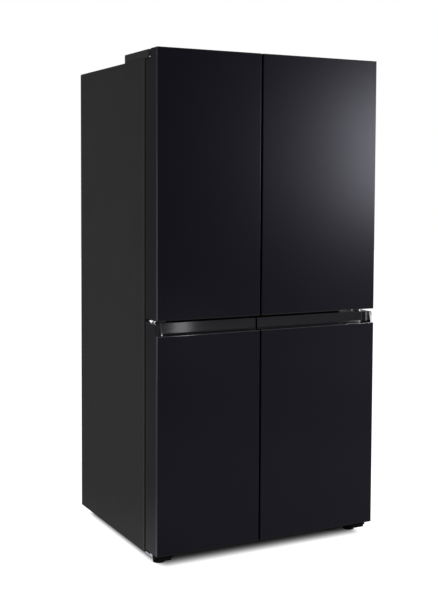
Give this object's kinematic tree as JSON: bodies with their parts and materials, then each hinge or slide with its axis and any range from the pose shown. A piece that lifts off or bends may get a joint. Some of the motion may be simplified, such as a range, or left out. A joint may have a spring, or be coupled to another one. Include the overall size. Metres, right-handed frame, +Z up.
{
  "type": "french door refrigerator",
  "caption": "Four-door refrigerator with unequal pairs of doors above and below, pocket grips across the lower doors, shelves, drawers and cooling parts inside.",
  "frame": {"origin": "on the floor under the middle of the closed cabinet and doors", "axes": "+Z up, +Y to the back, +X to the right as seen from the front; the door fronts face -Y"},
  "size_m": [0.9, 0.73, 1.794],
  "materials": {
    "black_steel": "satin",
    "case_paint": "satin",
    "grip_metal": "satin",
    "black_plastic": "matte",
    "cover_plastic": "matte",
    "seal": "matte",
    "white_liner": "gloss",
    "foam": "matte",
    "zinc": "satin",
    "galvanised": "satin",
    "clear_plastic": "gloss",
    "shelf_glass": "gloss",
    "trim_plastic": "gloss",
    "duct_plastic": "satin",
    "compressor_paint": "satin",
    "mount_rubber": "matte",
    "coil_metal": "satin",
    "motor_metal": "satin",
    "fan_plastic": "matte",
    "lamp_lens": "gloss",
    "panel_black": "gloss",
    "roller_plastic": "matte"
  },
  "bodies": {
    "cabinet": {"back_panel": "galvanised", "base_frame": "galvanised", "bottom_hinges": "zinc", "case_wrap": "case_paint", "compressor": "compressor_paint", "compressor_mounts": "mount_rubber", "condenser": "coil_metal", "condenser_fan_motor": "motor_metal", "control_panel": "panel_black", "cord_gland": "black_plastic", "crisper_drawers": "clear_plastic", "drain_pan": "fan_plastic", "evaporator": "coil_metal", "evaporator_fan_motor": "motor_metal", "fan_shroud": "fan_plastic", "freezer_drawers": "clear_plastic", "freezer_duct": "duct_plastic", "freezer_liner": "white_liner", "freezer_shelf_trims": "trim_plastic", "freezer_shelves": "shelf_glass", "fridge_duct": "duct_plastic", "fridge_liner": "white_liner", "fridge_shelf_trims": "trim_plastic", "fridge_shelves": "shelf_glass", "front_frame": "case_paint", "hinge_covers": "cover_plastic", "insulation": "foam", "lamps": "lamp_lens", "machine_cover": "case_paint", "middle_hinges": "zinc", "top_hinges": "zinc"},
    "upper_left_door": {"upper_left_bins": "clear_plastic", "upper_left_bottom_cap": "black_plastic", "upper_left_gasket": "seal", "upper_left_liner": "white_liner", "upper_left_panel": "black_steel", "upper_left_top_cap": "black_plastic"},
    "upper_right_door": {"upper_right_bins": "clear_plastic", "upper_right_bottom_cap": "black_plastic", "upper_right_gasket": "seal", "upper_right_liner": "white_liner", "upper_right_panel": "black_steel", "upper_right_top_cap": "black_plastic"},
    "lower_left_door": {"lower_left_bottom_cap": "black_plastic", "lower_left_gasket": "seal", "lower_left_grip": "grip_metal", "lower_left_liner": "white_liner", "lower_left_panel": "black_steel"},
    "lower_right_door": {"lower_right_bottom_cap": "black_plastic", "lower_right_gasket": "seal", "lower_right_grip": "grip_metal", "lower_right_liner": "white_liner", "lower_right_panel": "black_steel"},
    "dairy_lid": {"dairy_lid": "clear_plastic"},
    "left_foot": {"left_foot": "black_plastic"},
    "right_foot": {"right_foot": "black_plastic"},
    "left_roller": {"left_roller": "roller_plastic"},
    "right_roller": {"right_roller": "roller_plastic"},
    "condenser_fan": {"condenser_fan": "fan_plastic"},
    "evaporator_fan": {"evaporator_fan": "fan_plastic"}
  },
  "joints": [
    {"name": "upper_left_hinge", "type": "hinge", "parent": "cabinet", "child": "upper_left_door", "pos_m": [-0.432, -0.291, 1.3265], "axis": [0, 0, -1], "range_deg": [0, 115]},
    {"name": "upper_right_hinge", "type": "hinge", "parent": "cabinet", "child": "upper_right_door", "pos_m": [0.432, -0.291, 1.3265], "axis": [0, 0, 1], "range_deg": [0, 115]},
    {"name": "lower_left_hinge", "type": "hinge", "parent": "cabinet", "child": "lower_left_door", "pos_m": [-0.432, -0.291, 0.448], "axis": [0, 0, -1], "range_deg": [0, 115]},
    {"name": "lower_right_hinge", "type": "hinge", "parent": "cabinet", "child": "lower_right_door", "pos_m": [0.432, -0.291, 0.448], "axis": [0, 0, 1], "range_deg": [0, 115]},
    {"name": "dairy_lid_hinge", "type": "hinge", "parent": "upper_right_door", "child": "dairy_lid", "pos_m": [0.196, -0.256, 1.554], "axis": [1, 0, 0], "range_deg": [0, 70]},
    {"name": "left_foot_screw", "type": "hinge", "parent": "cabinet", "child": "left_foot", "pos_m": [-0.404, -0.281, 0.02], "axis": [0, 0, 1], "continuous": true},
    {"name": "left_roller_spin", "type": "hinge", "parent": "cabinet", "child": "left_roller", "pos_m": [-0.375, 0.305, 0.022], "axis": [1, 0, 0], "continuous": true},
    {"name": "right_foot_screw", "type": "hinge", "parent": "cabinet", "child": "right_foot", "pos_m": [0.404, -0.281, 0.02], "axis": [0, 0, 1], "continuous": true},
    {"name": "right_roller_spin", "type": "hinge", "parent": "cabinet", "child": "right_roller", "pos_m": [0.375, 0.305, 0.022], "axis": [1, 0, 0], "continuous": true},
    {"name": "condenser_fan_spin", "type": "hinge", "parent": "cabinet", "child": "condenser_fan", "pos_m": [-0.07, 0.245, 0.165], "axis": [1, 0, 0], "continuous": true},
    {"name": "evaporator_fan_spin", "type": "hinge", "parent": "cabinet", "child": "evaporator_fan", "pos_m": [-0.239, 0.239, 1.27], "axis": [0, 1, 0], "continuous": true}
  ]
}
